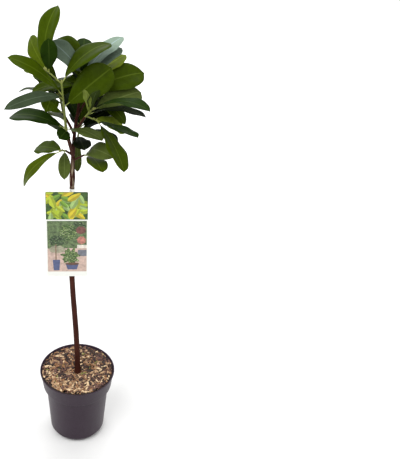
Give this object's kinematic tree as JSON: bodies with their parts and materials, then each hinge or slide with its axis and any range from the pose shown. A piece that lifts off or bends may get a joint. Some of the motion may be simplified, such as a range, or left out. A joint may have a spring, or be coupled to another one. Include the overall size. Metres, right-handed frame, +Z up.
{
  "type": "potted standard cherry laurel",
  "caption": "Young cherry laurel grown as a standard: a slender bare stem carries an airy crown of large glossy leaves, in a filled plastic nursery pot, with a picture tag.",
  "frame": {"origin": "centre of the pot's flat underside, on the floor it stands on", "axes": "+Z up along the plant, -Y towards the viewer of the picture, +X to the viewer's right"},
  "size_m": [0.2656, 0.26, 1.0634],
  "materials": {
    "pot": "dark purple-grey thin plastic, slightly glossy",
    "mulch": "dry bark and wood chips, tan to dark brown",
    "stem": "fine bark, reddish brown",
    "bough": "young bark, reddish to green brown",
    "leaves": "leathery glossy leaf, dark to olive green, paler beneath",
    "card": "smooth printed card",
    "collar": "smooth white"
  },
  "bodies": {
    "root": {"pot": "pot", "mulch": "mulch", "stem": "stem", "bough_left": "bough", "bough_right": "bough", "bough_low_left": "bough", "bough_low_right": "bough", "bough_back_left": "bough", "bough_back_right": "bough", "bough_low_back": "bough", "leaves_left": "leaves", "leaves_top": "leaves", "leaves_right": "leaves", "leaves_low_left": "leaves", "leaves_low_right": "leaves", "leaves_low_back": "leaves", "leaves_back_left": "leaves", "leaves_back_right": "leaves", "tag_card": "card", "tag_collar": "collar"}
  },
  "joints": []
}
